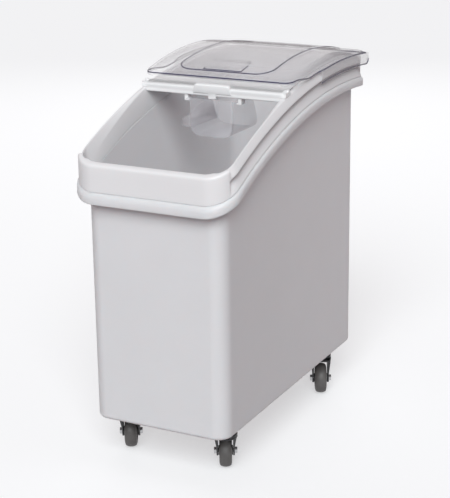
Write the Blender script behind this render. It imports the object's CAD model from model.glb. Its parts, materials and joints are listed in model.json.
"""Dresses a rolling ingredient bin: moulded tub and frame, clear lid and scoop, swivel casters.

Lengths are in metres. The front of the bin faces -Y, the floor is Z = 0, and all the curves of
the top share one axis across the bin, the axis that the lid slides about.
"""

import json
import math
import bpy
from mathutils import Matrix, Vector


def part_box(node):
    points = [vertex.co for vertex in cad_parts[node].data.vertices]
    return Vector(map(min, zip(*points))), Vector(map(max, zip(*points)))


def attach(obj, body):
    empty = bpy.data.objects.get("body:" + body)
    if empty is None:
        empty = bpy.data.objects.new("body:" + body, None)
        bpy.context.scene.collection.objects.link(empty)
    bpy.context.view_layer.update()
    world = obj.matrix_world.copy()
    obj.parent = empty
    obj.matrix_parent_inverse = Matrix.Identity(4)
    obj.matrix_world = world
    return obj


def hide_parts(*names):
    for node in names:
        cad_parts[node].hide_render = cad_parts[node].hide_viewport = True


bl_info = {
    "name": "Rolling Ingredient Bin",
    "version": (1, 0, 0),
    "blender": (4, 5, 0),
    "location": "View3D > Sidebar > Bin",
    "description": "Moulded, clear and caster finishes for a rolling ingredient bin",
    "category": "Object",
}

import bmesh
import bpy
from bpy.props import FloatProperty, FloatVectorProperty, PointerProperty
from mathutils import Matrix, Vector

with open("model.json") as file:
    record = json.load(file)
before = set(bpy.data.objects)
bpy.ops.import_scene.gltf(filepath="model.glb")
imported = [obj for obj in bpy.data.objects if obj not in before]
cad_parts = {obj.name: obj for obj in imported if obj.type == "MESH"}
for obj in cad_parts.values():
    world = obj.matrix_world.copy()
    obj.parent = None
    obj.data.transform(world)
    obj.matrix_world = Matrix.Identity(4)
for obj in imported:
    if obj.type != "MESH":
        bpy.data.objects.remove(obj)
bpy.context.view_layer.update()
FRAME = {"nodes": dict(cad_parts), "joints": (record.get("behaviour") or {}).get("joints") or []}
JOINTS = {joint["name"]: joint for joint in FRAME["joints"]}
CORNERS = ("front_left", "front_right", "rear_left", "rear_right")
SIDES = (-1.0, 1.0)
AXIS_Y, AXIS_Z = JOINTS["lid_slide"]["pos_m"][1:]
QUARTER = 0.5 * math.pi

# Steps round a corner, along a long side, along a short end, round a lathe and a rod,
# along a ledge or a leg, along the flange, the bowl and the handle, round a turned edge of
# the tub, and round the corners of sections: most of them, and finer ones
CORNER_STEPS = 24
SIDE_STEPS = 72
END_STEPS = 24
LATHE_STEPS = 64
ROD_STEPS = 8
SWEEP_STEPS = 40
FLANGE_STEPS = 12
BOWL_STEPS = 20
HANDLE_STEPS = 24
EDGE_STEPS = 5
ROUND_STEPS = 4
FINE_STEPS = 6
DECK_STEPS = 8
SCOOP_STEPS = 10

# Most of an edge that the rounding of one of its corners may take
ROUND_SHARE = 0.45
# Edges that turn more than this many degrees stay sharp: on most pieces, on the collar,
# on the forks' legs, on the clear pieces and on thin rods
SHARP = 35.0
COLLAR_SHARP = 40.0
LEG_SHARP = 45.0
CLEAR_SHARP = 50.0
ROD_SHARP = 80.0
# Step from the frame's outer face in to the rails' lip
RAIL_STEP = 0.001
# Radius of the hole round each kingpin
PIN_BORE = 0.00505


def length(label, words, default):
    """A length that a user can change."""
    return FloatProperty(name=label, description=words, default=default, unit="LENGTH", precision=4)


def angle(label, words, degrees):
    """An angle that a user can change."""
    turn = math.radians(degrees)
    return FloatProperty(name=label, description=words, default=turn, subtype="ANGLE")


def colour(label, words, default):
    """A colour that a user can change."""
    return FloatVectorProperty(
        name=label, description=words, default=default, size=3, subtype="COLOR", min=0.0, max=1.0
    )


class BinMouldingSettings(bpy.types.PropertyGroup):
    """Sizes of the moulded tub, frame and bar"""

    rim_overhang: length("Rim overhang", "Rim outside the tub's walls", 0.024)
    tub_corner: length("Tub corner", "Outside radius of the tub's upright corners", 0.030)
    tub_wall: length("Tub wall", "Thickness of the tub's walls", 0.004)
    tub_floor: length("Tub floor", "Thickness of the tub's floor", 0.005)
    base_round: length("Base round", "Radius of the tub's bottom edge", 0.008)
    rim_band: length("Rim band", "Height of the rim's turned-down band", 0.0185)
    band_wall: length("Band wall", "Thickness of the rim's band", 0.0035)
    frame_inset: length("Frame inset", "Step from the rim in to the frame", 0.004)
    seat_gap: length("Seat gap", "Gap between the rim and the frame", 0.0002)
    mouth_side: length("Mouth side", "Mouth wider than the tub, each side", 0.002)
    mouth_end: length("Mouth end", "Mouth longer than the tub, each end", 0.007)
    mouth_corner: length("Mouth corner", "Corner radius of the mouth", 0.036)
    apron: length("Apron", "Length of the front apron along the side", 0.029)
    rear_wrap: length("Rear wrap", "Length of the rear wall along the side", 0.025)
    lip: length("Rail lip", "Height of the rails' turned-down lip", 0.017)
    slope: length("Rail slope", "Drop of the rails' inner edge at the front of the mouth", 0.030)
    draft: length("Inner draft", "How far the frame's inner walls lean in to meet the tub", 0.0055)
    shoulder: length("Rail shoulder", "Drop of the rails' outer edge below their crest", 0.0145)
    crest: length("Rail crest", "From the rails' inner edge to their crest", 0.008)
    web: length("Rail web", "Thickness of the rails' upright wall", 0.0075)
    rim_round: length("Rim round", "Radius of the rim's outer top edge", 0.008)
    ledge: length("Ledge", "Width of the ledge under the rear cover", 0.005)
    ledge_thick: length("Ledge thickness", "Thickness of the ledge under the rear cover", 0.004)
    boss: length("Boss radius", "Radius of the bolt bosses in the tub's floor", 0.0078)


class BinLidSettings(bpy.types.PropertyGroup):
    """Sizes of the clear lid"""

    sheet: length("Sheet", "Thickness of the clear sheet", 0.003)
    dome_radius: length("Dome radius", "Radius of the dome along the bin", 0.728)
    dome_middle: length("Dome middle", "Place of the dome's highest point along the bin", 0.140)
    panel_rise: length("Panel rise", "Height of the raised panel", 0.0015)
    panel_half: length("Panel half width", "Half the width of the raised panel", 0.100)
    panel_lead: length("Panel lead", "From the lid's front edge to the raised panel", 0.024)
    panel_corner: length("Panel corner", "Front corner radius of the raised panel", 0.034)
    grip_half: length("Grip half width", "Half the width of the finger grip", 0.041)
    grip_deep: length("Grip depth", "Length of the finger grip along the bin", 0.048)
    grip_rise: length("Grip rise", "Height of the finger grip", 0.004)
    front_corner: length("Front corner", "Radius of the lid's front corners", 0.020)
    rear_corner: length("Rear corner", "Radius of the lid's rear corners", 0.016)
    cutaway: length("Cutaway", "Length over which the lid's sides come down to the rails", 0.100)
    shoulder: length("Lid shoulder", "Radius of the lid's long upper edges", 0.008)
    nose: length("Lid nose", "Radius of the lid's front and rear upper edges", 0.004)
    crown: length("Lid crown", "How much the lid's rear corners fall below its middle", 0.0025)
    skirt_start: length("Skirt start", "From the lid's front edge to the skirts", 0.133)
    skirt_end: length("Skirt end", "Radius of each skirt's rear end", 0.014)
    hook_long: length("Hook length", "Length of the skirts' hooks along the rails", 0.200)
    skirt_thick: length("Skirt thickness", "Thickness of each skirt", 0.0026)
    skirt_hook: length("Skirt hook", "Reach of the skirts' hooks under the rails", 0.009)
    hook_thick: length("Hook thickness", "Thickness of the skirts' hooks", 0.004)
    run_gap: length("Running gap", "Gap between the lid and the rails", 0.0004)
    edge_line: length("Edge line", "Radius of the dark lines at the moulded edges", 0.0013)


class BinFinishSettings(bpy.types.PropertyGroup):
    """Colours of the bin"""

    tub: colour("Tub", "White moulded tub", (0.79, 0.785, 0.80))
    frame: colour("Frame", "White moulded frame", (0.82, 0.815, 0.825))
    bar: colour("Bar", "White moulded bar", (0.93, 0.93, 0.935))
    clear: colour("Clear", "Clear lid and rear cover", (0.80, 0.785, 0.81))
    scoop: colour("Scoop", "Clear scoop", (0.84, 0.83, 0.88))
    edge: colour("Edges", "Dark edges of the clear sheet", (0.035, 0.033, 0.12))
    black: colour("Caster", "Painted caster steel", (0.024, 0.024, 0.027))
    hub: colour("Hub", "Moulded wheel hub", (0.10, 0.098, 0.098))
    tyre: colour("Tyre", "Dark rubber tyre", (0.085, 0.082, 0.079))
    zinc: colour("Zinc", "Plated bolts, pins and nuts", (0.50, 0.50, 0.51))


class BinStageSettings(bpy.types.PropertyGroup):
    """Camera and floor"""

    eye: FloatVectorProperty(
        name="Camera",
        description="Place of the camera",
        default=(1.2777, -2.4811, 1.2354),
        subtype="TRANSLATION",
    )
    turn: angle("Turn", "Camera's turn to the left", 27.44)
    tilt: angle("Tilt", "Camera's tilt downwards", 17.44)
    roll: angle("Roll", "Camera's roll", -0.82)
    lens: FloatProperty(
        name="Lens", description="Focal length on a 36 mm sensor, in millimetres", default=106.61
    )
    floor: colour("Floor", "Pale floor and backdrop", (0.56, 0.565, 0.57))
    floor_glow: FloatProperty(
        name="Floor glow", description="Light from under the pale floor", default=0.84
    )


def arc(radius, y):
    """Height of a curve of the top at a place along the bin."""
    return AXIS_Z + math.sqrt(radius**2 - (y - AXIS_Y) ** 2)


def rim_radius():
    """Radius of the rim's top about the axis of the top curves."""
    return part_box("tub")[1].z - AXIS_Z


def rail_radius():
    """Radius of the rails' top about the axis of the top curves."""
    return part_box("top_frame")[1].z - AXIS_Z


def clamp(value, low=0.0, high=1.0):
    """A value kept between two others."""
    return min(max(value, low), high)


def smooth(low, high, value):
    """Rises smoothly from 0 at low to 1 at high."""
    share = clamp((value - low) / (high - low))
    return share * share * (3.0 - 2.0 * share)


def steps_between(start, end, count):
    """Evenly spaced values from start to end, both included."""
    return [start + (end - start) * i / count for i in range(count + 1)]


def full_turn(count):
    """Evenly spaced angles round a circle."""
    return steps_between(0.0, 2.0 * math.pi, count)[:-1]


def rectangle(left, right, low, high, low_round, high_round):
    """Corners of an upright rectangle, anticlockwise, with their rounding radii."""
    return [
        (left, low, low_round),
        (right, low, low_round),
        (right, high, high_round),
        (left, high, high_round),
    ]


def mirrored(corners, across, up):
    """Corners, then their mirror image backwards; the mirrored direction has a factor of -1."""
    return corners + [(x * across, y * up, radius) for x, y, radius in reversed(corners)]


def rounded_outline(half_w, half_d, corner):
    """Points round a rounded rectangle, anticlockwise from the front of its right corner."""
    points = []
    x, y = half_w - corner, half_d - corner
    centres = [(x, -y), (x, y), (-x, y), (-x, -y)]
    for i, (x, y) in enumerate(centres):
        end = centres[(i + 1) % 4]
        for turn in steps_between((i - 1) * QUARTER, i * QUARTER, CORNER_STEPS):
            points.append((x + corner * math.cos(turn), y + corner * math.sin(turn)))
        start = points[-1]
        for share in steps_between(0.0, 1.0, END_STEPS if i % 2 else SIDE_STEPS)[1:-1]:
            points.append((start[0] + (end[0] - x) * share, start[1] + (end[1] - y) * share))
    return points


def rounded_section(corners, steps=ROUND_STEPS):
    """Closed section through corners given as across, up and rounding radius."""
    points = []
    for i, (x, y, radius) in enumerate(corners):
        here = Vector((x, y))
        before = Vector(corners[i - 1][:2]) - here
        after = Vector(corners[(i + 1) % len(corners)][:2]) - here
        reach = min(radius, before.length * ROUND_SHARE, after.length * ROUND_SHARE)
        start = here + before.normalized() * reach
        end = here + after.normalized() * reach
        for share in steps_between(0.0, 1.0, steps):
            points.append(start.lerp(here, share).lerp(here.lerp(end, share), share))
    return points


def curved_ring(corners, y, side=1.0):
    """Rounded section at a place along the bin, its heights given as radii of the top curves."""
    return [Vector((side * x, y, arc(radius, y))) for x, radius in rounded_section(corners)]


def upright(y=0.0):
    """Place that stands a flat outline up across the bin."""
    return Matrix.Translation((0.0, y, 0.0)) @ Matrix.Rotation(QUARTER, 4, "X")


def add_mesh(name, points, faces, sharp=SHARP):
    """New object from points and faces, with outward normals, smooth apart from sharp edges."""
    mesh = bpy.data.meshes.new(name)
    mesh.from_pydata([tuple(p) for p in points], [], faces)
    made = bmesh.new()
    made.from_mesh(mesh)
    bmesh.ops.remove_doubles(made, verts=made.verts, dist=1e-6)
    bmesh.ops.recalc_face_normals(made, faces=made.faces)
    made.to_mesh(mesh)
    made.free()
    for polygon in mesh.polygons:
        polygon.use_smooth = True
    mesh.set_sharp_from_angle(angle=math.radians(sharp))
    piece = bpy.data.objects.new(name, mesh)
    bpy.context.scene.collection.objects.link(piece)
    return piece


def loft_faces(ring_count, size, closed=True, joined=False):
    """Quads through rings laid one after the other, joined into a loop if wanted."""
    faces = []
    for i in range(ring_count if joined else ring_count - 1):
        here, there = i * size, (i + 1) % ring_count * size
        for k in range(size if closed else size - 1):
            after = (k + 1) % size
            faces.append((here + k, here + after, there + after, there + k))
    return faces


def loft(name, rings, capped=True, joined=False, sharp=SHARP):
    """Skin through closed rings of points, with flat caps at its ends."""
    size = len(rings[0])
    faces = loft_faces(len(rings), size, True, joined)
    if capped and not joined:
        faces.append(tuple(range(size)))
        faces.append(tuple(range((len(rings) - 1) * size, len(rings) * size)))
    return add_mesh(name, [p for ring in rings for p in ring], faces, sharp)


def lathe(name, section, place):
    """Closed section of radius and height turned about the Z axis of a place."""
    rings = []
    for turn in full_turn(LATHE_STEPS):
        c, s = math.cos(turn), math.sin(turn)
        rings.append([place @ Vector((r * c, r * s, z)) for r, z in section])
    return loft(name, rings, False, True)


def slab(name, outline, low, high, bevel, place=Matrix()):
    """Plate with a closed outline between two heights, with rounded edges, moved to a place."""
    flat = [Vector(p[:2]) for p in outline]
    if sum(flat[i - 1].cross(p) for i, p in enumerate(flat)) < 0.0:
        flat.reverse()
    edge = []
    for turn in steps_between(0.0, QUARTER, ROUND_STEPS):
        edge.append((bevel * (1.0 - math.sin(turn)), low + bevel * (1.0 - math.cos(turn))))
    edge += [(inset, low + high - z) for inset, z in reversed(edge)]
    rings = []
    for inset, z in edge:
        ring = []
        for i, p in enumerate(flat):
            along = (flat[(i + 1) % len(flat)] - flat[i - 1]).normalized()
            moved = p + Vector((-along.y, along.x)) * inset
            ring.append(place @ Vector((moved.x, moved.y, z)))
        rings.append(ring)
    return loft(name, rings)


def tube(name, path, radius, closed=False):
    """Thin round rod along a path of points."""
    rings = []
    count = len(path)
    for i, p in enumerate(path):
        before = path[(i - 1) % count] if closed or i else p
        after = path[(i + 1) % count] if closed or i < count - 1 else p
        along = (after - before).normalized()
        across = along.cross(Vector((0.0, 0.0, 1.0))).normalized()
        up = across.cross(along)
        ring = []
        for turn in full_turn(ROD_STEPS):
            ring.append(p + radius * (math.cos(turn) * across + math.sin(turn) * up))
        rings.append(ring)
    return loft(name, rings, not closed, closed, ROD_SHARP)


def join(name, pieces):
    """One object made of several."""
    mesh = bmesh.new()
    for piece in pieces:
        mesh.from_mesh(piece.data)
    made = bpy.data.meshes.new(name)
    mesh.to_mesh(made)
    mesh.free()
    for piece in pieces:
        bpy.data.objects.remove(piece)
    whole = bpy.data.objects.new(name, made)
    bpy.context.scene.collection.objects.link(whole)
    return whole


def dress(piece, material, body, slot, *nodes):
    """Gives a piece its finish and its body, in place of the nodes that it stands for."""
    piece.data.materials.clear()
    piece.data.materials.append(material)
    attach(piece, body)
    if nodes:
        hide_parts(*nodes)


def finish_node(name, material):
    """Gives a piece that keeps its own solid its finish."""
    mesh = FRAME["nodes"][name].data
    mesh.materials.clear()
    mesh.materials.append(material)


def new_material(name):
    """New material, its shader, a function that adds nodes and one that links them."""
    made = bpy.data.materials.new(name)
    made.use_nodes = True
    tree = made.node_tree

    def node(kind, inputs=None, **values):
        new = tree.nodes.new(kind)
        for key, value in values.items():
            setattr(new, key, value)
        for key, value in (inputs or {}).items():
            feed(new.inputs[key], value)
        return new

    return made, tree.nodes["Principled BSDF"], node, tree.links.new


def feed(socket, value):
    """Links a socket to another one, or sets it to a plain value."""
    if isinstance(value, bpy.types.NodeSocket):
        socket.id_data.links.new(value, socket)
    else:
        socket.default_value = value


def grain(node, scale):
    """Noise in the piece's own lengths."""
    place = node("ShaderNodeTexCoord").outputs["Object"]
    noise = node("ShaderNodeTexNoise", {"Vector": place, "Scale": scale, "Detail": 3.0})
    return noise.outputs["Fac"]


def ramp(node, value, low, high):
    """Number or colour that goes from low to high with a value."""
    mix = node("ShaderNodeMix", data_type="RGBA" if isinstance(high, tuple) else "FLOAT")
    for socket, end in zip([s for s in mix.inputs if s.enabled], (value, low, high)):
        feed(socket, end)
    return [s for s in mix.outputs if s.enabled][0]


def shade(rgb, factor):
    """A colour made lighter or darker, with full opacity."""
    return tuple(min(c * factor, 1.0) for c in rgb) + (1.0,)


def coated(name, rgb, tone, gloss, relief=None):
    """Material with a cloudy colour, an uneven gloss and, where given, a fine relief.

    Each of the three is a noise scale and two values: the darkest and lightest factor of the
    colour, the lowest and highest roughness, and the strength and depth of the relief.
    """
    made, shader, node, link = new_material(name)
    scale, dark, light = tone
    cloudy = ramp(node, grain(node, scale), shade(rgb, dark), shade(rgb, light))
    link(cloudy, shader.inputs["Base Color"])
    scale, low, high = gloss
    link(ramp(node, grain(node, scale), low, high), shader.inputs["Roughness"])
    if relief:
        scale, strength, depth = relief
        inputs = {"Height": grain(node, scale), "Strength": strength, "Distance": depth}
        bump = node("ShaderNodeBump", inputs)
        link(bump.outputs["Normal"], shader.inputs["Normal"])
    return made, shader, node, link


def moulded(name, rgb, rough, speck=900.0, glow=0.0):
    """Moulded plastic: a satin skin with a fine grain, and light let through the wall."""
    gloss = (40.0, rough - 0.06, rough + 0.06)
    made, shader, _, _ = coated(name, rgb, (9.0, 0.975, 1.02), gloss, (speck, 0.06, 0.0004))
    shader.inputs["IOR"].default_value = 1.5
    shader.inputs["Subsurface Weight"].default_value = glow
    shader.inputs["Subsurface Radius"].default_value = (1.0, 0.85, 0.82)
    shader.inputs["Subsurface Scale"].default_value = 0.008
    return made


def clear_plastic(name, rgb, opacity, rough=0.06, graze=0.25, dense=0.8):
    """Clear sheet: a thin tint that builds up along a slanting view, polished and faintly wavy."""
    gloss = (30.0, rough, rough + 0.05)
    made, shader, node, link = coated(name, rgb, (12.0, 0.97, 1.03), gloss, (18.0, 0.05, 0.002))
    facing = node("ShaderNodeLayerWeight", {"Blend": 0.5}).outputs["Facing"]
    slant = node("ShaderNodeMath", {0: facing, 1: 3.6}, operation="POWER").outputs["Value"]
    cloudy = shader.inputs["Base Color"].links[0].from_socket
    link(ramp(node, slant, cloudy, shade(rgb, graze)), shader.inputs["Base Color"])
    link(ramp(node, slant, opacity, dense), shader.inputs["Alpha"])
    shader.inputs["IOR"].default_value = 1.58
    made.surface_render_method = "BLENDED"
    return made


def painted(name, rgb):
    """Black paint on pressed steel, with a light orange peel and scuffed tone."""
    return coated(name, rgb, (60.0, 0.8, 1.5), (120.0, 0.28, 0.45), (500.0, 0.1, 0.0003))[0]


def rubber(name, rgb):
    """Dark rubber, dusty, with fine pores."""
    return coated(name, rgb, (45.0, 0.75, 1.6), (80.0, 0.4, 0.55), (1400.0, 0.25, 0.0003))[0]


def plated(name, rgb):
    """Zinc plate with a slightly cloudy tone."""
    made, shader, _, _ = coated(name, rgb, (150.0, 0.85, 1.1), (300.0, 0.3, 0.48))
    shader.inputs["Metallic"].default_value = 1.0
    return made


class BIN_OT_tub(bpy.types.Operator):
    """Tub with rounded corners, a soft bottom edge and a turned-down rim"""

    bl_idname = "bin.tub"
    bl_label = "Tub"

    def execute(self, context):
        sizes, finish = context.scene.bin_moulding, context.scene.bin_finish
        low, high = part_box("tub")
        wall, base, band = sizes.tub_wall, sizes.base_round, sizes.band_wall
        over, rim = sizes.rim_overhang, sizes.rim_round
        half_w, half_d = high.x - over, high.y - over
        floor = low.z + sizes.tub_floor
        inner = base - wall / 2.0
        top = rim_radius()
        under, band_low = top - wall, top - sizes.rim_band
        soft = band / 2.0

        def ring(offset, height):
            points = rounded_outline(half_w + offset, half_d + offset, sizes.tub_corner + offset)
            return [Vector((x, y, height(y))) for x, y in points]

        def flat(z):
            return lambda y: z

        def curved(radius):
            return lambda y: arc(radius, y)

        def turned(offset, height, radius, start, end, kind):
            rings = []
            for degrees in steps_between(start, end, EDGE_STEPS):
                a = math.radians(degrees)
                level = kind(height + radius * math.sin(a))
                rings.append(ring(offset + radius * math.cos(a), level))
            return rings

        rings = [ring(-wall - inner, flat(floor))]
        rings += turned(-wall - inner, floor + inner, inner, -90.0, 0.0, flat)
        rings += turned(-wall + soft, top - soft, soft, 180.0, 90.0, curved)
        rings += turned(over - rim, top - rim, rim, 90.0, 0.0, curved)
        rings += turned(over - soft, band_low + soft, soft, 0.0, -180.0, curved)
        rings += turned(over - band - soft, under - soft, soft, 0.0, 90.0, curved)
        rings += turned(band, under - band, band, 90.0, 180.0, curved)
        rings += turned(-base, low.z + base, base, 0.0, -90.0, flat)
        pieces = [loft("tub_moulding", rings)]
        for node in FRAME["nodes"]:
            if node.startswith("plate_bolts"):
                pieces += self.bosses(sizes, node, floor)
        white = moulded("white tub", tuple(finish.tub), 0.44, glow=1.0)
        dress(join("tub_moulding", pieces), white, "bin", "tub_white", "tub")
        return {"FINISHED"}

    def bosses(self, sizes, node, floor):
        """Four rounded bosses over the bolts of one caster."""
        low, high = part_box(node)
        r, bolt_head, pinhole = sizes.boss, 0.0054, 1e-5
        top = high.z + sizes.tub_floor / 2.0
        section = [(pinhole, floor), (r, floor), (r, top - r / 5.0), (r * 0.8, top), (pinhole, top)]
        return [
            lathe("boss", section, Matrix.Translation((x, y, 0.0)))
            for x in (low.x + bolt_head, high.x - bolt_head)
            for y in (low.y + bolt_head, high.y - bolt_head)
        ]


class BIN_OT_frame(bpy.types.Operator):
    """Collar on the rim: front apron, side rails with a channel, rear wall and ledges"""

    bl_idname = "bin.frame"
    bl_label = "Top frame"

    def execute(self, context):
        sizes, finish = context.scene.bin_moulding, context.scene.bin_finish
        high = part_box("top_frame")[1]
        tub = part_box("tub")[1]
        over = sizes.rim_overhang
        mouth_w = tub.x - over + sizes.mouth_side
        mouth_d = tub.y - over + sizes.mouth_end
        corner = sizes.tub_corner + over - sizes.frame_inset
        inside = rounded_outline(mouth_w, mouth_d, sizes.mouth_corner)
        outside = rounded_outline(high.x, high.y, corner)
        wide = high.x - mouth_w
        rings = []
        for near, far in zip(inside, outside):
            ring = []
            for across, radius in self.section(sizes, wide, far[1], high.y):
                share = across / wide
                x = near[0] + (far[0] - near[0]) * share
                y = near[1] + (far[1] - near[1]) * share
                ring.append(Vector((x, y, arc(radius, y))))
            rings.append(ring)
        pieces = [loft("top_frame_moulding", rings, False, True, COLLAR_SHARP)]
        sheet = context.scene.bin_lid.sheet
        pieces += [self.ledge(sizes, sheet, side, mouth_w) for side in SIDES]
        white = moulded("white frame", tuple(finish.frame), 0.38, glow=0.25)
        dress(join("top_frame_moulding", pieces), white, "bin", "frame_white", "top_frame")
        return {"FINISHED"}

    def section(self, sizes, wide, y, half_d):
        """Section at a place along the bin: a channelled rail, closed to an apron at both ends."""
        low, top = rim_radius() + sizes.seat_gap, rail_radius()
        bar_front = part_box("scoop_bar")[0].y
        apron_y, rear_y = sizes.apron - half_d, half_d - sizes.rear_wrap
        bow, skin = 1.15, 0.0136
        drop = sizes.slope * clamp((bar_front - y) / (bar_front - apron_y)) ** bow
        edge, web, draft = wide - RAIL_STEP, sizes.web, sizes.draft
        lip_in, lip_low = edge - sizes.band_wall, top - sizes.lip
        roof = top - skin
        rail = [
            (-draft, low, 0.0004),
            (wide, low, 0.0004),
            (wide, low + 0.0016, 0.0008),
            (wide - 0.0022, low + 0.006, 0.004),
            (web + 0.0045, low + 0.0135, 0.006),
            (web, low + 0.0215, 0.004),
            (web, roof, 0.003),
            (lip_in, roof, 0.002),
            (lip_in, lip_low, 0.001),
            (edge, lip_low, 0.0012),
            (edge - 0.0005, top - sizes.shoulder, 0.003),
            (sizes.crest, top, 0.004),
            (0.0, top - drop, 0.0025),
        ]
        # The apron has as many corners as the rail, so that one can turn into the other
        shares = (0.0, 0.0, 0.05, 0.1, 0.16, 0.22, 0.3, 0.4, 0.5, 0.6, 1.0, 1.0, 0.97)
        faces = (-draft,) + (wide,) * 10 + (wide * 0.45, 0.0)
        rounds = (0.0004, 0.0004) + (0.001,) * 8 + (0.007, 0.004, 0.005)
        heights = [low + (top - low) * share for share in shares]
        blend, ease = 0.004, 0.022
        heights[-1] -= drop * (1.0 - smooth(apron_y, apron_y - ease, y))
        front = smooth(apron_y, apron_y - blend, y)
        rear = smooth(rear_y, rear_y + blend, y)
        wrap = max(front, rear)
        mixed = []
        for side, end in zip(rail, zip(faces, heights, rounds)):
            mixed.append(tuple(a + (b - a) * wrap for a, b in zip(side, end)))
        return rounded_section(mixed)

    def ledge(self, sizes, sheet, side, mouth_w):
        """Strip along one rail that carries the rear cover."""
        low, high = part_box("rear_cover")
        top = rail_radius() - sheet - sizes.seat_gap
        bottom = top - sizes.ledge_thick
        inner, outer = mouth_w - sizes.ledge, mouth_w + sizes.tub_wall / 2.0
        corners = [(inner, bottom, 0.001), (outer, bottom, 0.0)]
        corners += [(outer, top, 0.0), (inner, top, 0.001)]
        places = steps_between(low.y, high.y - sizes.mouth_corner, SWEEP_STEPS)
        return loft("ledge", [curved_ring(corners, y, side) for y in places])


class BIN_OT_bar(bpy.types.Operator):
    """Cross bar with feet on the rails, a raised tab, a rear flange and three hooks"""

    bl_idname = "bin.bar"
    bl_label = "Scoop bar"

    def execute(self, context):
        sizes, finish = context.scene.bin_moulding, context.scene.bin_finish
        low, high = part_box("scoop_bar")
        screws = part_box("bar_screws")
        middle_y = (screws[0].y + screws[1].y) / 2.0
        radius = rail_radius()
        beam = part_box("tub")[1].x - sizes.rim_overhang + sizes.mouth_side - sizes.seat_gap
        turn = math.asin((AXIS_Y - middle_y) / radius)
        place = Matrix.Translation((0.0, AXIS_Y, AXIS_Z)) @ Matrix.Rotation(turn, 4, "X")
        place = place @ upright()
        deep, sink, rise = 0.026, 0.008, 0.008
        half, lean = deep / 2.0, deep / 6.0
        top, bottom, foot = radius + rise, radius - sink, radius + sizes.seat_gap
        span = [
            (half, bottom, 0.004),
            (half - lean, top, 0.0072),
            (-half, top, 0.003),
            (-half, bottom, 0.0025),
        ]
        seat = [
            (half - lean / 2.0, foot, 0.0004),
            (half - lean, top, 0.0035),
            (-half, top, 0.003),
            (-half, foot, 0.0004),
        ]
        pieces = [self.strip(place, beam, span), self.strip(place, high.x, seat)]
        tab_half, tab_deep, tab_rise, taper = 0.041, 0.010, 0.0065, 0.0045
        tab_top, tab_low = top + tab_rise, radius - sink / 2.0
        tab = [
            (-tab_half, tab_low, 0.0005),
            (tab_half, tab_low, 0.0005),
            (tab_half - taper, tab_top, 0.005),
            (-tab_half + taper, tab_top, 0.005),
        ]
        front = half - lean / 3.0
        pieces.append(slab("tab", rounded_section(tab), front - tab_deep, front, 0.002, place))
        pieces.append(self.flange(beam, high.y, rise))
        pieces += [self.side_hook(side, low.z, middle_y) for side in SIDES]
        pieces += self.middle_hook(low.z, middle_y)
        white = moulded("white bar", tuple(finish.bar), 0.38, glow=0.25)
        bar = join("scoop_bar_moulding", pieces)
        dress(bar, white, "bin", "frame_white", "scoop_bar")
        finish_node("bar_screws", white)
        finish_node("frame_screws", plated("zinc plate", tuple(finish.zinc)))
        return {"FINISHED"}

    def strip(self, place, reach, corners):
        """Length of one section across the bin, with softened ends."""
        section = rounded_section(corners, FINE_STEPS)
        middle = sum(section, Vector((0.0, 0.0))) / len(section)
        soft, shrunk = 0.0014, 0.86
        ends = ((-reach, shrunk), (-reach + soft, 1.0), (reach - soft, 1.0), (reach, shrunk))
        rings = []
        for x, share in ends:
            ring = [middle + (p - middle) * share for p in section]
            rings.append([place @ Vector((x, p.y, p.x)) for p in ring])
        return loft("strip", rings)

    def flange(self, reach, rear, rise):
        """Thin flange behind the bar, over the front edge of the rear cover."""
        thick, gap, overlap, deep, root = 0.0018, 0.0003, 0.005, 0.035, rise - 0.0035
        low = rail_radius() + gap
        start = rear - overlap
        rings = []
        for y in steps_between(start, start + deep, FLANGE_STEPS):
            share = (y - start) / deep
            top = low + thick + root * (1.0 - share) ** 2
            rings.append(curved_ring(rectangle(-reach, reach, low, top, 0.0, 0.0006), y))
        return loft("flange", rings)

    def side_hook(self, side, low, middle_y):
        """J-shaped hook that carries one rim of the scoop."""
        thick, wide, deep, tall, gap = 0.0035, 0.007, 0.016, 0.024, 0.0004
        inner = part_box("scoop")[1].x + gap
        outer, tip, top = inner + wide, inner - thick, low + tall
        outline = [
            (tip, low, 0.0014),
            (outer, low, 0.0016),
            (outer, top, 0.0002),
            (inner, top, 0.0002),
            (inner, low + thick, 0.0012),
            (tip, low + thick, 0.0014),
        ]
        points = [(side * x, z) for x, z in rounded_section(outline)]
        return slab("hook", points, -deep / 2.0, deep / 2.0, 0.0006, upright(middle_y))

    def middle_hook(self, low, middle_y):
        """Plain tongue behind the middle of the scoop, with a block over the scoop before it."""
        half, thick, tall, front, gap = 0.008, 0.0035, 0.024, 0.011, 0.0006
        clear = max(low + thick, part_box("scoop")[1].z + gap)
        made = []
        for foot, back, ahead in ((low + thick, -thick / 2.0, thick / 2.0), (clear, thick, front)):
            outline = rounded_section(rectangle(-half, half, foot, low + tall, 0.002, 0.0002))
            made.append(slab("tongue", outline, back, ahead, 0.0006, upright(middle_y)))
        return made


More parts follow.
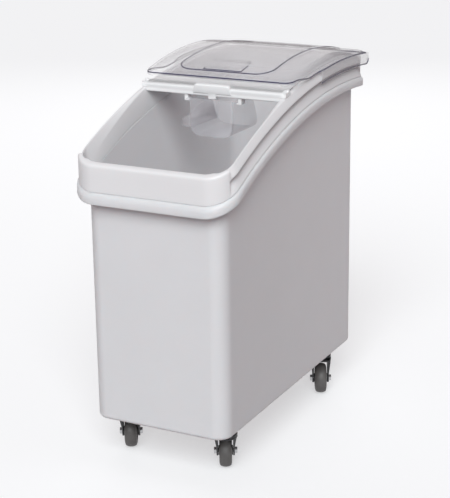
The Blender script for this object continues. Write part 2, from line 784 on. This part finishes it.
class BIN_OT_lid(bpy.types.Operator):
    """Clear domed lid with a raised panel, a finger grip, hooked skirts and dark moulded edges"""

    bl_idname = "bin.lid"
    bl_label = "Sliding lid"

    def execute(self, context):
        lid, finish = context.scene.bin_lid, context.scene.bin_finish
        low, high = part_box("sliding_lid")
        dome_rise = 0.023
        self.lid = lid
        self.skirt_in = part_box("top_frame")[1].x - RAIL_STEP + lid.run_gap
        self.skirt_out = self.skirt_in + lid.skirt_thick
        self.half_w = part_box("bar_screws")[1].x + lid.sheet + lid.run_gap
        self.front, self.rear = low.y, high.y
        self.dome_z = arc(rail_radius(), AXIS_Y) + dome_rise - lid.dome_radius
        self.low_radius = rail_radius() + lid.run_gap
        self.skirt_front = self.front + lid.skirt_start
        self.hook_top = rail_radius() - context.scene.bin_moulding.lip - lid.run_gap
        self.hook_low = self.hook_top - lid.hook_thick
        self.grip_start = self.front + lid.panel_lead + lid.sheet
        pieces = [self.sheet()] + [self.skirt(side) for side in SIDES]
        clear = clear_plastic("clear sheet", tuple(finish.clear), 0.09)
        dress(join("sliding_lid_sheet", pieces), clear, "lid", "clear_lid", "sliding_lid")
        edges = join("lid_moulded_edges", self.edge_lines())
        dark = clear_plastic("clear sheet edge", tuple(finish.edge), 0.8, 0.15)
        dress(edges, dark, "lid", "clear_lid")
        finish_node("rear_cover", clear)
        return {"FINISHED"}

    def dome(self, y):
        """Height of the plain dome."""
        along = y - self.lid.dome_middle
        return self.dome_z + math.sqrt(self.lid.dome_radius**2 - along**2)

    def half_width(self, y, margin):
        """Half the lid's width at a place along it, inside a margin."""
        side = self.half_w - margin
        ahead = y - (self.front + margin)
        behind = self.rear - margin - y
        for corner, inside in ((self.lid.front_corner, ahead), (self.lid.rear_corner, behind)):
            r = corner - margin
            if inside < r:
                return side - r + math.sqrt(max(r**2 - (r - inside) ** 2, 0.0))
        return side

    def rows(self, margin):
        """Places along the lid, close together round the corners and the panel's front."""
        front, rear = self.front + margin, self.rear - margin
        corner = self.lid.front_corner - margin
        back = self.lid.rear_corner - margin
        corner_rows, fine_rows, plain_rows, fine_long = 10, 30, 44, 0.060
        quarter = steps_between(0.0, QUARTER, corner_rows)
        fine = front + corner + fine_long
        places = [front + corner * (1.0 - math.cos(a)) for a in quarter]
        places += steps_between(front + corner, fine, fine_rows)[1:]
        places += steps_between(fine, rear - back, plain_rows)[1:]
        places += [rear - back + back * math.sin(a) for a in quarter][1:]
        return places

    def panel_depth(self, x, y):
        """How far a point lies inside the raised panel, negative outside it."""
        r = self.lid.panel_corner
        across = abs(x) - (self.lid.panel_half - r)
        ahead = (self.front + self.lid.panel_lead + r) - y
        outside = math.hypot(max(across, 0.0), max(ahead, 0.0))
        return r - outside - min(max(across, ahead), 0.0)

    def grip_depth(self, x, y):
        """How far a point lies inside the finger grip, negative outside it."""
        along = y - self.grip_start
        return min(self.lid.grip_half - abs(x), along, self.lid.grip_deep - along)

    def height(self, x, y):
        """Height of the lid's top, with its panel and grip."""
        lid = self.lid
        panel_edge, grip_edge = (-0.001, 0.002), (-0.0005, 0.004)
        panel = lid.panel_rise * smooth(*panel_edge, self.panel_depth(x, y))
        grip = lid.grip_rise * smooth(*grip_edge, self.grip_depth(x, y))
        fall = lid.crown * (x / self.half_w) ** 2 * smooth(lid.dome_middle, self.rear, y)
        return self.dome(y) + panel + grip - fall

    def top(self, x, y, margin=0.0):
        """Height of the lid's top with its rounded edges, kept where the sheet clears the rails."""
        rest = arc(self.low_radius + self.lid.run_gap, y) + self.lid.sheet
        flattened = 0.6
        return max(self.height(x, y) - flattened * self.edge_round(x, y, margin), rest)

    def edge_round(self, x, y, margin):
        """Drop of the top close to the lid's outer edge."""
        side = self.half_width(y, margin) - abs(x)
        end = min(y - self.front - margin, self.rear - margin - y)
        drops = []
        for r, inside in ((self.lid.shoulder, side), (self.lid.nose, end)):
            short = clamp(r - inside, 0.0, r)
            drops.append(r - math.sqrt(r**2 - short**2))
        return max(drops)

    def grid(self, margin, sink):
        """Rows of points over the lid, inside a margin and sunk below its top."""
        count, crowding = 128, 1.12
        shares = steps_between(-1.0, 1.0, count)
        columns = [math.copysign(1.0 - (1.0 - abs(u)) ** crowding, u) for u in shares]
        rows = []
        for y in self.rows(margin):
            across = [self.half_width(y, margin) * u for u in columns]
            rows.append([Vector((x, y, self.top(x, y, margin) - sink)) for x in across])
        return rows

    def border(self, rows, first):
        """Places in the list of the points round a grid's edge, anticlockwise."""
        width, count = len(rows[0]), len(rows)
        loop = [first + i for i in range(width)]
        loop += [first + j * width + width - 1 for j in range(1, count)]
        loop += [first + (count - 1) * width + i for i in range(width - 2, -1, -1)]
        loop += [first + j * width for j in range(count - 2, 0, -1)]
        return loop

    def wall_foot(self, point, lift=0.0):
        """Foot of the lid's side wall under a point of its edge."""
        sheet = point.z - self.lid.sheet
        share = smooth(self.front, self.front + self.lid.cutaway, point.y)
        down = min(arc(self.low_radius, point.y) - sheet, 0.0)
        return Vector((point.x, point.y, sheet + down * share + lift))

    def sheet(self):
        """Closed sheet: top, underside and the walls that stand on the rails."""
        points, faces, borders = [], [], []
        for rows in (self.grid(0.0, 0.0), self.grid(self.lid.sheet, self.lid.sheet)):
            first = len(points)
            for quad in loft_faces(len(rows), len(rows[0]), False):
                faces.append(tuple(first + k for k in quad))
            points += [p for row in rows for p in row]
            borders.append(self.border(rows, first))
        outer, inner = borders
        count = len(outer)
        foot_out, foot_in = len(points), len(points) + count
        feet = [self.wall_foot(points[k]) for k in outer]
        points += feet
        points += [Vector((points[k].x, points[k].y, foot.z)) for k, foot in zip(inner, feet)]
        for k in range(count):
            after = (k + 1) % count
            faces.append((outer[k], outer[after], foot_out + after, foot_out + k))
            faces.append((foot_out + k, foot_out + after, foot_in + after, foot_in + k))
            faces.append((foot_in + k, foot_in + after, inner[after], inner[k]))
        return add_mesh("lid_sheet", points, faces, CLEAR_SHARP)

    def skirt(self, side):
        """Skirt outside one rail, hooked under its lip."""
        lid = self.lid
        inner, outer, joint = self.skirt_in, self.skirt_out, self.half_w - lid.sheet / 2.0
        top = self.low_radius + lid.sheet
        hook_end, fade, overlap = self.skirt_front + lid.hook_long, 0.012, 0.0002
        rings = []
        for y in self.skirt_places():
            lift = self.skirt_lift(y)
            hook_low, hook_top = self.hook_low + lift, self.hook_top + lift
            hooked = 1.0 - smooth(hook_end - fade, hook_end, y)
            reach = inner - overlap - lid.skirt_hook * hooked
            corners = [
                (reach, hook_low, 0.001),
                (outer, hook_low, 0.0012),
                (outer, top, 0.0014),
                (joint, top, 0.0),
                (joint, self.low_radius, 0.0),
                (inner, self.low_radius, 0.0006),
                (inner, hook_top, 0.0006),
                (reach, hook_top, 0.001),
            ]
            rings.append(curved_ring(corners, y, side))
        return loft("skirt", rings)

    def skirt_places(self):
        """Places along a skirt, close together where its rear end is rounded."""
        start = self.rear - self.lid.skirt_end
        reach = 0.98 * self.lid.skirt_end
        straight_steps, round_steps = 34, 8
        turns = steps_between(0.0, QUARTER, round_steps)
        rounded = [start + reach * math.sin(a) for a in turns]
        return steps_between(self.skirt_front, start, straight_steps)[:-1] + rounded

    def skirt_lift(self, y):
        """How far a skirt's lower edge has risen in the round of its rear end."""
        r = self.lid.skirt_end
        past = clamp(y - self.rear + r, 0.0, r)
        return r - math.sqrt(r**2 - past**2)

    def on_top(self, x, y, lift):
        """Point on the lid's top."""
        return Vector((x, y, self.top(x, y) + lift))

    def edge_lines(self):
        """Dark lines where the clear sheet turns: its edge, the panel, the grip and the skirts."""
        r = self.lid.edge_line
        sunk, panel_r, grip_r = r * 0.4, r * 0.8, r * 0.7
        rim = [self.rim_point(x, y, r) for x, y in self.border_path(r)]
        panel = [self.on_top(x, y, -sunk) for x, y in self.panel_path()]
        grip = [self.on_top(x, y, -sunk) for x, y in self.grip_path()]
        lines = [tube("rim_line", rim, r, True)]
        lines += [tube("panel_line", panel, panel_r), tube("grip_line", grip, grip_r)]
        return lines + [self.skirt_line(side) for side in SIDES]

    def rim_point(self, x, y, r):
        """Point of the lid's dark lower edge, carried out to the skirts' upper edges."""
        foot = self.wall_foot(self.on_top(x, y, 0.0), r)
        side_from, side_to, skirt_before, skirt_after = 0.024, 0.004, 0.012, 0.016
        inset, sunk = 0.6 * r, 0.4 * r
        beside = smooth(self.half_w - side_from, self.half_w - side_to, abs(x))
        share = beside * smooth(self.skirt_front - skirt_before, self.skirt_front + skirt_after, y)
        wide = x * (1.0 + ((self.skirt_out - inset) / self.half_w - 1.0) * share)
        skirt_top = arc(self.low_radius + self.lid.sheet - sunk, y)
        return Vector((wide, y, foot.z + (skirt_top - foot.z) * share))

    def border_path(self, inset):
        """Path just inside the lid's outline, closed."""
        right = [(self.half_width(y, inset), y) for y in self.rows(inset)]
        return right + [(-x, y) for x, y in reversed(right)]

    def panel_path(self):
        """Path along the raised panel's edge, from the rear round its front corners."""
        r, half = self.lid.panel_corner, self.lid.panel_half
        rear_gap, side_steps, corner_steps = 0.004, 40, 12
        turn_y = self.front + self.lid.panel_lead + r
        path = [(half, y) for y in steps_between(self.rear - rear_gap, turn_y, side_steps)]
        for a in steps_between(0.0, -QUARTER, corner_steps)[1:]:
            path.append((half - r + r * math.cos(a), turn_y + r * math.sin(a)))
        return path + [(-x, y) for x, y in reversed(path)]

    def grip_path(self):
        """Path along the finger grip's front and right edges."""
        start, half, cut = self.grip_start, self.lid.grip_half, 0.002
        side_share, front_steps, side_steps = 0.6, 20, 12
        end = start + self.lid.grip_deep * side_share
        path = [(-half, start + 4.0 * cut), (-half + cut, start)]
        path += [(x, start) for x in steps_between(-half + 2.0 * cut, half - cut, front_steps)]
        path += [(half, start + cut)]
        return path + [(half, y) for y in steps_between(start + 2.0 * cut, end, side_steps)]

    def skirt_line(self, side):
        """Dark lower edge of one skirt."""
        r = self.lid.edge_line
        x = side * (self.skirt_out - r)
        path = []
        for y in self.skirt_places():
            path.append(Vector((x, y, arc(self.hook_low + r + self.skirt_lift(y), y))))
        return tube("skirt_line", path, r)


class BIN_OT_scoop(bpy.types.Operator):
    """Clear scoop with flanged rims, a slanting mouth and a rounded handle"""

    bl_idname = "bin.scoop"
    bl_label = "Scoop"

    def execute(self, context):
        low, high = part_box("scoop")
        rim, handle_long, mouth_long = 0.007, 0.098, 0.082
        self.wall, self.round = 0.0025, 0.026
        self.half = high.x - rim
        self.top, self.low = high.z, low.z
        self.back = low.y + handle_long
        self.mouth_low, self.mouth_top = high.y, self.back + mouth_long
        scoop = join("scoop_moulding", self.bowl(high.x) + [self.handle(low.y)])
        tint = tuple(context.scene.bin_finish.scoop)
        clear = clear_plastic("clear scoop", tint, 0.11, graze=1.12, dense=0.6)
        dress(scoop, clear, "scoop", "clear_scoop", "scoop")
        return {"FINISHED"}

    def section(self, outer):
        """Closed section of the bowl's wall, with a flange at each rim."""
        wall, half, top, low = self.wall, self.half, self.top, self.low
        skin = [
            (outer, top, 0.0008),
            (outer, top - wall, 0.0008),
            (half, top - wall, 0.002),
            (half, low, self.round),
        ]
        hollow = [(wall - half, top, 0.001), (wall - half, low + wall, self.round - wall)]
        corners = mirrored(skin, -1.0, 1.0) + mirrored(hollow, -1.0, 1.0)
        return rounded_section(corners, SCOOP_STEPS)

    def bowl(self, outer):
        """Bowl with a slanting mouth, and the wall that closes its other end."""
        half, low, top = self.half, self.low, self.top
        section = self.section(outer)
        rings = []
        for share in steps_between(0.0, 1.0, BOWL_STEPS):
            ring = []
            for x, z in section:
                drop = (top - z) / (top - low)
                mouth = self.mouth_top + (self.mouth_low - self.mouth_top) * drop
                ring.append(Vector((x, mouth + (self.back - mouth) * share, z)))
            rings.append(ring)
        corners = rectangle(-half, half, low, top, self.round, 0.002)
        outline = rounded_section(corners, SCOOP_STEPS)
        end = slab("end", outline, -self.wall, 0.0, 0.0008, upright(self.back))
        return [loft("wall", rings, sharp=CLEAR_SHARP), end]

    def handle(self, end):
        """Handle that falls a little from the bowl to its rounded end."""
        half, tall, drop, sink, flare = 0.012, 0.018, 0.015, 0.002, 0.003
        round_from, end_wide, end_tall, fall_to = 0.9, 0.35, 0.45, 0.75
        low = self.top - drop - tall
        rings = []
        for share in steps_between(0.0, 1.0, HANDLE_STEPS):
            y = self.back + (end - self.back) * share
            past = max((share - round_from) / (1.0 - round_from), 0.0)
            close = math.sqrt(max(1.0 - past**2, 0.0))
            wide = (half + flare * (1.0 - share)) * (end_wide + (1.0 - end_wide) * close)
            top = self.top - sink - (drop - sink) * smooth(0.0, fall_to, share)
            middle = (top + low) / 2.0
            reach = (top - low) / 2.0 * (end_tall + (1.0 - end_tall) * close)
            corners = rectangle(-wide, wide, middle - reach, middle + reach, 0.005, 0.006)
            rings.append([Vector((x, y, z)) for x, z in rounded_section(corners)])
        return loft("handle", rings, sharp=CLEAR_SHARP)


class BIN_OT_casters(bpy.types.Operator):
    """Swivel casters: pressed forks, ball races, hubs, tyres and their plated bolts"""

    bl_idname = "bin.casters"
    bl_label = "Casters"

    def execute(self, context):
        finish = context.scene.bin_finish
        self.black = painted("black caster paint", tuple(finish.black))
        self.grey = moulded("dark wheel hub", tuple(finish.hub), 0.5, 600.0)
        self.tread = rubber("dark tyre", tuple(finish.tyre))
        zinc = bpy.data.materials["zinc plate"]
        for corner in CORNERS:
            self.plate(corner)
            self.swivel(corner)
            self.wheel(corner)
            for fastener in ("plate_bolts", "kingpin", "axle_bolt", "axle_nut"):
                finish_node(f"{fastener}_{corner}", zinc)
            finish_node(f"wheel_bush_{corner}", self.grey)
        return {"FINISHED"}

    def plate(self, corner):
        """Top plate with rounded corners."""
        low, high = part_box(f"caster_plate_{corner}")
        outline = rounded_section(rectangle(low.x, high.x, low.y, high.y, 0.005, 0.005))
        piece = slab(f"caster_plate_pressed_{corner}", outline, low.z, high.z, 0.0008)
        dress(piece, self.black, "bin", "caster_black", f"caster_plate_{corner}")

    def swivel(self, corner):
        """Ball race and pressed fork of one caster, about its swivel axis."""
        pin = Vector(JOINTS[f"swivel_turn_{corner}"]["pos_m"])
        axle = Vector(JOINTS[f"wheel_spin_{corner}"]["axis"])
        turn = math.atan2(axle.y, axle.x)
        place = Matrix.Translation((pin.x, pin.y, 0.0)) @ Matrix.Rotation(turn, 4, "Z")
        low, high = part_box(f"swivel_race_{corner}")
        r = (high.x - low.x) / 2.0
        tall = high.z - low.z
        waist = r * 0.93
        race = [
            (PIN_BORE, low.z, 0.0002),
            (r, low.z, 0.0012),
            (r, low.z + tall * 0.35, 0.002),
            (waist, low.z + tall * 0.5, 0.001),
            (waist, low.z + tall * 0.62, 0.001),
            (r - tall / 2.0 + 0.001, high.z, 0.0016),
            (PIN_BORE, high.z, 0.0002),
        ]
        piece = lathe(f"ball_race_{corner}", rounded_section(race), place)
        body = f"swivel_{corner}"
        dress(piece, self.black, body, "caster_black", f"swivel_race_{corner}")
        fork = self.fork(corner, place, r)
        dress(fork, self.black, body, "caster_black", f"fork_{corner}")

    def fork(self, corner, place, crown_r):
        """Crown disc, and two legs that widen up to it."""
        low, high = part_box(f"fork_{corner}")
        wheel = Vector(JOINTS[f"wheel_spin_{corner}"]["pos_m"])
        pin = Vector(JOINTS[f"swivel_turn_{corner}"]["pos_m"])
        trail = math.hypot(wheel.x - pin.x, wheel.y - pin.y)
        inside, thick, crown_thick, skin = 0.0144, 0.003, 0.004, 0.0002
        top, eye, edge = high.z, wheel.z - low.z, inside + thick
        crown = top - crown_thick
        disc = [(PIN_BORE, crown, 0.0002), (crown_r, crown, 0.0012)]
        disc += [(crown_r, top, 0.0012), (PIN_BORE, top, 0.0002)]
        pieces = [lathe("crown", rounded_section(disc), place)]
        front, rear = -crown_r - trail / 4.0, crown_r - trail / 2.0
        deck = rounded_section(rectangle(-edge, edge, front, rear, 0.004, 0.004), DECK_STEPS)
        pieces.append(self.deck(place, deck, crown + skin, top - skin))
        for side in SIDES:
            rings = []
            for z in steps_between(low.z + skin, top - skin, SWEEP_STEPS):
                up = max(z - wheel.z, 0.0) / (top - wheel.z)
                reach = math.sqrt(max(eye**2 - max(wheel.z - z, 0.0) ** 2, 0.0))
                y0 = (-trail - reach) * (1.0 - up) + front * up
                y1 = (-trail + reach) * (1.0 - up) + rear * up
                flare = (crown_r - edge) * smooth(wheel.z + eye * 0.6, top, z)
                bend, bend_round = edge + flare * 0.55, 0.002 + flare
                section = [
                    (inside, y0, 0.0005),
                    (bend, y0, bend_round),
                    (edge + flare, (y0 + y1) / 2.0, 0.006),
                    (bend, y1, bend_round),
                    (inside, y1, 0.0005),
                ]
                ring = rounded_section(section)
                rings.append([place @ Vector((side * x, y, z)) for x, y in ring])
            pieces.append(loft("leg", rings, sharp=LEG_SHARP))
        return join(f"fork_pressed_{corner}", pieces)

    def deck(self, place, outline, low, high):
        """Part of the crown between the legs, open round the kingpin."""
        hole = [p.normalized() * PIN_BORE for p in outline]
        rings = []
        for ring, z in ((outline, low), (outline, high), (hole, high), (hole, low)):
            rings.append([place @ Vector((p.x, p.y, z)) for p in ring])
        return loft("deck", rings, False, True)

    def wheel(self, corner):
        """Hub with ribs, and tyre with a crowned tread, about the axle."""
        pos = Vector(JOINTS[f"wheel_spin_{corner}"]["pos_m"])
        axle = Vector(JOINTS[f"wheel_spin_{corner}"]["axis"])
        place = Matrix.Translation(pos) @ axle.to_track_quat("Z", "Y").to_matrix().to_4x4()
        body = f"wheel_{corner}"
        wheel_r = JOINTS[f"wheel_spin_{corner}"]["pos_m"][2]
        half, hub_r, hub_half = 0.012, wheel_r - 0.009, 0.014
        tyre = [
            (hub_r, -half + 0.0004, 0.0006),
            (hub_r + 0.0015, -half, 0.001),
            (wheel_r - 0.0022, -half * 0.86, 0.006),
            (wheel_r, -half * 0.3, 0.004),
        ]
        section = rounded_section(mirrored(tyre, 1.0, -1.0), FINE_STEPS)
        piece = lathe(f"tyre_rubber_{corner}", section, place)
        dress(piece, self.tread, body, "tyre_grey", f"tyre_{corner}")
        boss, bore, rim_in, web = 0.0095, 0.00655, hub_r - 0.0045, half - 0.006
        hub = [
            (bore, -hub_half, 0.0003),
            (boss, -hub_half, 0.0012),
            (boss, -web, 0.0015),
            (rim_in, -web, 0.0015),
            (rim_in + 0.001, -half, 0.0008),
            (hub_r - 0.0001, -half, 0.0008),
        ]
        pieces = [lathe("hub", rounded_section(mirrored(hub, 1.0, -1.0)), place)]
        rib_count = 6
        for turn in full_turn(rib_count):
            spoke = place @ Matrix.Rotation(turn, 4, "Z") @ upright()
            pieces += [self.rib(spoke, boss, rim_in, web, half, side) for side in SIDES]
        made = join(f"hub_moulded_{corner}", pieces)
        dress(made, self.grey, body, "wheel_grey", f"wheel_hub_{corner}")

    def rib(self, place, boss, rim_in, web, half, side):
        """Thin rib between the hub's boss and its rim."""
        thin, root = 0.0009, 0.0005
        start, end = boss - root, rim_in + 0.0008
        outline = [(start, web - root, 0.0003), (end, web - root, 0.0003)]
        outline += [(end, half - 0.001, 0.0006), (start, half - root, 0.0006)]
        points = [(x, side * z) for x, z in rounded_section(outline)]
        return slab("rib", points, -thin, thin, 0.0003, place)


class BIN_OT_stage(bpy.types.Operator):
    """Pale floor and backdrop, soft lights and the camera"""

    bl_idname = "bin.stage"
    bl_label = "Stage"

    def execute(self, context):
        stage = context.scene.bin_stage
        self.backdrop(stage)
        self.camera(stage)
        self.lights()
        context.scene.view_settings.view_transform = "Standard"
        context.scene.view_settings.look = "None"
        return {"FINISHED"}

    def backdrop(self, stage):
        """Wide pale floor, and a pale wall far round it that only the camera sees."""
        reach, tall = 16.0, 12.0
        corners = [(x, y, 0.0) for x, y in ((-1, -1), (1, -1), (1, 1), (-1, 1))]
        floor = add_mesh("floor", [Vector(p) * reach for p in corners], [(0, 1, 2, 3)])
        round_it = [(reach * math.cos(a), reach * math.sin(a)) for a in full_turn(LATHE_STEPS)]
        wall = loft("backdrop", [[(x, y, z) for x, y in round_it] for z in (0.0, tall)], False)
        wall.visible_glossy = wall.visible_transmission = wall.visible_shadow = False
        made, shader, node, link = new_material("pale floor")
        pale = tuple(stage.floor)
        cloudy = ramp(node, grain(node, 3.0), shade(pale, 0.995), shade(pale, 1.0))
        link(cloudy, shader.inputs["Base Color"])
        shader.inputs["Roughness"].default_value = 0.7
        shader.inputs["Emission Color"].default_value = shade(pale, 1.0)
        shader.inputs["Emission Strength"].default_value = stage.floor_glow
        for piece in (floor, wall):
            piece.data.materials.append(made)
            piece.visible_diffuse = False

    def camera(self, stage):
        """Camera at the photograph's place and angle."""
        level = Vector((-math.sin(stage.turn), math.cos(stage.turn), 0.0))
        ahead = level * math.cos(stage.tilt) - Vector((0.0, 0.0, math.sin(stage.tilt)))
        right = Vector((math.cos(stage.turn), math.sin(stage.turn), 0.0))
        up = right.cross(ahead)
        across = right * math.cos(stage.roll) + up * math.sin(stage.roll)
        top = up * math.cos(stage.roll) - right * math.sin(stage.roll)
        view = Matrix((across, top, -ahead)).transposed().to_4x4()
        view.translation = Vector(stage.eye)
        data = bpy.data.cameras.new("camera")
        data.sensor_width = 36.0
        data.lens = stage.lens
        data.clip_end = 100.0
        camera = bpy.data.objects.new("camera", data)
        camera.matrix_world = view
        bpy.context.scene.collection.objects.link(camera)
        bpy.context.scene.camera = camera

    def lights(self):
        """Dim surroundings, soft daylight from the front right, and a panel behind for sheen."""
        world = bpy.data.worlds.new("studio")
        world.use_nodes = True
        sky = world.node_tree.nodes["Background"]
        sky.inputs["Color"].default_value = (1.0, 0.84, 0.87, 1.0)
        sky.inputs["Strength"].default_value = 0.22
        bpy.context.scene.world = world
        sun = bpy.data.lights.new("daylight", "SUN")
        sun.color = (0.95, 0.99, 1.0)
        sun.energy = 2.95
        sun.angle = math.radians(40.0)
        self.aim(sun, (0.6, -1.45, 1.632))
        panel = bpy.data.lights.new("panel", "AREA")
        panel.size = 2.0
        panel.energy = 14.0
        self.aim(panel, (-1.4, 3.0, 1.9))

    def aim(self, data, place):
        """Puts a light at a place and turns it to the bin's middle."""
        lamp = bpy.data.objects.new(data.name, data)
        lamp.location = place
        ahead = Vector((0.0, 0.0, 0.4)) - Vector(place)
        lamp.rotation_euler = ahead.to_track_quat("-Z", "Y").to_euler()
        bpy.context.scene.collection.objects.link(lamp)


class BIN_PT_pieces(bpy.types.Panel):
    """Pieces of the bin, in the order they are made"""

    bl_idname = "BIN_PT_pieces"
    bl_label = "Rolling Ingredient Bin"
    bl_space_type = "VIEW_3D"
    bl_region_type = "UI"
    bl_category = "Bin"

    def draw(self, context):
        for operator in OPERATORS:
            self.layout.operator(operator.bl_idname)


OPERATORS = (
    BIN_OT_tub,
    BIN_OT_frame,
    BIN_OT_bar,
    BIN_OT_lid,
    BIN_OT_scoop,
    BIN_OT_casters,
    BIN_OT_stage,
)
SETTINGS = {
    "bin_moulding": BinMouldingSettings,
    "bin_lid": BinLidSettings,
    "bin_finish": BinFinishSettings,
    "bin_stage": BinStageSettings,
}


def register():
    """Registers the settings, the operators and the panel."""
    for name, group in SETTINGS.items():
        bpy.utils.register_class(group)
        setattr(bpy.types.Scene, name, PointerProperty(type=group))
    for made in OPERATORS + (BIN_PT_pieces,):
        bpy.utils.register_class(made)


def unregister():
    """Undoes what register does."""
    for made in reversed(OPERATORS + (BIN_PT_pieces,)):
        bpy.utils.unregister_class(made)
    for name, group in SETTINGS.items():
        delattr(bpy.types.Scene, name)
        bpy.utils.unregister_class(group)


def main():
    """Makes every piece."""
    register()
    bpy.ops.bin.tub()
    bpy.ops.bin.frame()
    bpy.ops.bin.bar()
    bpy.ops.bin.lid()
    bpy.ops.bin.scoop()
    bpy.ops.bin.casters()
    bpy.ops.bin.stage()


if __name__ == "__main__":
    main()
